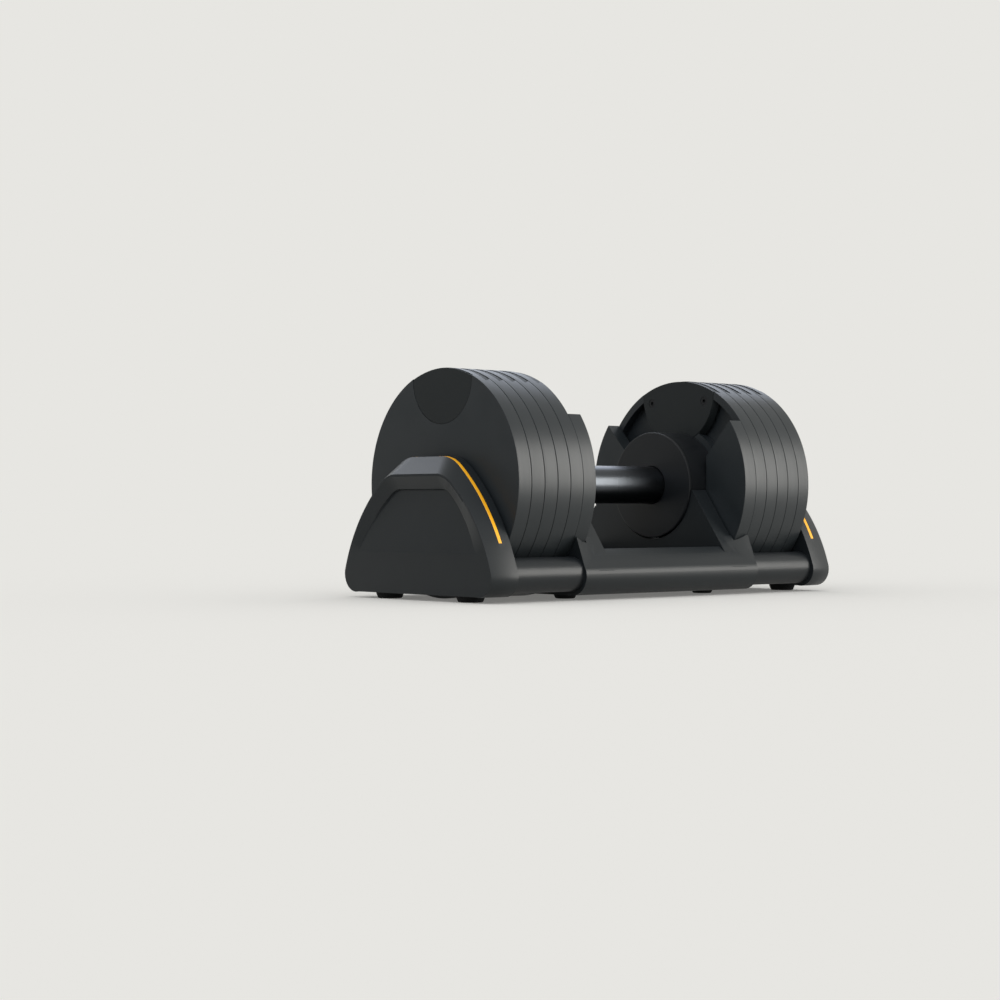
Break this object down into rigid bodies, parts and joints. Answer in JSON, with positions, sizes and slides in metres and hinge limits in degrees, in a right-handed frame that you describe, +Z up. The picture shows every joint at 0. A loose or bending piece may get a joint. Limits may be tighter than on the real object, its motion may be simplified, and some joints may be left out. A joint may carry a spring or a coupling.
{
  "type": "adjustable dumbbell",
  "caption": "Twist-grip adjustable dumbbell with stacked round plates, docked in a tubular cradle with arched end supports and a centre saddle.",
  "frame": {"origin": "centre of the footprint at the bottom of the rubber feet, under the middle of the grip", "axes": "+X along the handle from the left head to the right head, +Z up, the viewer stands towards -Y"},
  "size_m": [0.4066, 0.196, 0.1908],
  "materials": {
    "coated_steel": "satin black powder coat on steel discs",
    "guide_polymer": "moulded glass-filled nylon",
    "hub_polymer": "fine satin moulded housing",
    "grip_steel": "smooth satin dark coated steel",
    "machined_steel": "turned and milled steel",
    "screw_steel": "black oxide screws",
    "bronze_bush": "plain bearing bronze",
    "rail_tube": "satin black powder coated tube",
    "cradle_polymer": "fine-textured moulded plastic",
    "amber_inlay": "satin amber inlay",
    "foot_rubber": "matt black rubber"
  },
  "bodies": {
    "cradle": {"front_rail": "rail_tube", "rear_rail": "rail_tube", "left_end_support": "cradle_polymer", "right_end_support": "cradle_polymer", "left_accent_trim": "amber_inlay", "right_accent_trim": "amber_inlay", "saddle_block": "cradle_polymer", "release_key": "machined_steel", "support_feet": "foot_rubber", "saddle_feet": "foot_rubber"},
    "outer_weight": {"left_plate_1": "coated_steel", "right_plate_1": "coated_steel", "left_face_inset": "guide_polymer", "right_face_inset": "guide_polymer"},
    "second_weight": {"left_plate_2": "coated_steel", "right_plate_2": "coated_steel", "left_tongue_2": "guide_polymer", "right_tongue_2": "guide_polymer", "tongue_screws_2": "screw_steel"},
    "third_weight": {"left_plate_3": "coated_steel", "right_plate_3": "coated_steel", "left_tongue_3": "guide_polymer", "right_tongue_3": "guide_polymer", "tongue_screws_3": "screw_steel"},
    "fourth_weight": {"left_plate_4": "coated_steel", "right_plate_4": "coated_steel", "left_tongue_4": "guide_polymer", "right_tongue_4": "guide_polymer", "tongue_screws_4": "screw_steel"},
    "inner_weight": {"left_plate_5": "coated_steel", "right_plate_5": "coated_steel", "left_tongue_5": "guide_polymer", "right_tongue_5": "guide_polymer", "tongue_screws_5": "screw_steel", "left_fork_plate": "coated_steel", "right_fork_plate": "coated_steel", "fork_plate_screws": "screw_steel"},
    "handle": {"left_hub_cap": "hub_polymer", "left_hub_shell": "hub_polymer", "left_guide_blade": "guide_polymer", "left_sleeve_bush": "bronze_bush", "right_hub_cap": "hub_polymer", "right_hub_shell": "hub_polymer", "right_guide_blade": "guide_polymer", "right_sleeve_bush": "bronze_bush", "guide_blade_screws": "screw_steel", "spine_tube": "machined_steel", "click_spring": "machined_steel", "lock_spring": "machined_steel"},
    "grip": {"grip": "grip_steel", "drive_sleeve": "machined_steel", "index_wheel": "machined_steel"},
    "left_rod": {"left_selector_rod": "machined_steel", "left_rod_pin": "machined_steel"},
    "right_rod": {"right_selector_rod": "machined_steel", "right_rod_pin": "machined_steel"},
    "lock_gate": {"lock_gate": "machined_steel"},
    "click_ball": {"click_ball": "machined_steel"}
  },
  "joints": [
    {"name": "outer_weight_lift", "type": "slide", "parent": "cradle", "child": "outer_weight", "axis": [0, 0, 1], "range_m": [0, 0.2]},
    {"name": "second_weight_lift", "type": "slide", "parent": "outer_weight", "child": "second_weight", "axis": [0, 0, 1], "range_m": [0, 0.2]},
    {"name": "third_weight_lift", "type": "slide", "parent": "second_weight", "child": "third_weight", "axis": [0, 0, 1], "range_m": [0, 0.2]},
    {"name": "fourth_weight_lift", "type": "slide", "parent": "third_weight", "child": "fourth_weight", "axis": [0, 0, 1], "range_m": [0, 0.2]},
    {"name": "inner_weight_lift", "type": "slide", "parent": "fourth_weight", "child": "inner_weight", "axis": [0, 0, 1], "range_m": [0, 0.2]},
    {"name": "handle_lift", "type": "slide", "parent": "inner_weight", "child": "handle", "axis": [0, 0, 1], "range_m": [0, 0.16]},
    {"name": "grip_turn", "type": "hinge", "parent": "handle", "child": "grip", "pos_m": [0, 0, 0.0958], "axis": [1, 0, 0], "range_deg": [0, 300]},
    {"name": "right_rod_slide", "type": "slide", "parent": "handle", "child": "right_rod", "axis": [1, 0, 0], "range_m": [0, 0.0708]},
    {"name": "left_rod_slide", "type": "slide", "parent": "handle", "child": "left_rod", "axis": [-1, 0, 0], "range_m": [0, 0.0708]},
    {"name": "lock_gate_drop", "type": "slide", "parent": "handle", "child": "lock_gate", "axis": [0, 0, -1], "range_m": [0, 0.0042], "deforming": ["lock_spring"]},
    {"name": "click_ball_travel", "type": "slide", "parent": "handle", "child": "click_ball", "axis": [0, 0, 1], "range_m": [0, 0.0008], "stiffness_N_per_m": 300, "springref_m": 0.002, "deforming": ["click_spring"]}
  ],
  "couplings": [
    {"joint": "right_rod_slide", "follows": "grip_turn", "m_per_rad": 0.013493},
    {"joint": "left_rod_slide", "follows": "grip_turn", "m_per_rad": 0.013493},
    {"joint": "lock_gate_drop", "follows": "handle_lift", "ratio": 0.025}
  ]
}
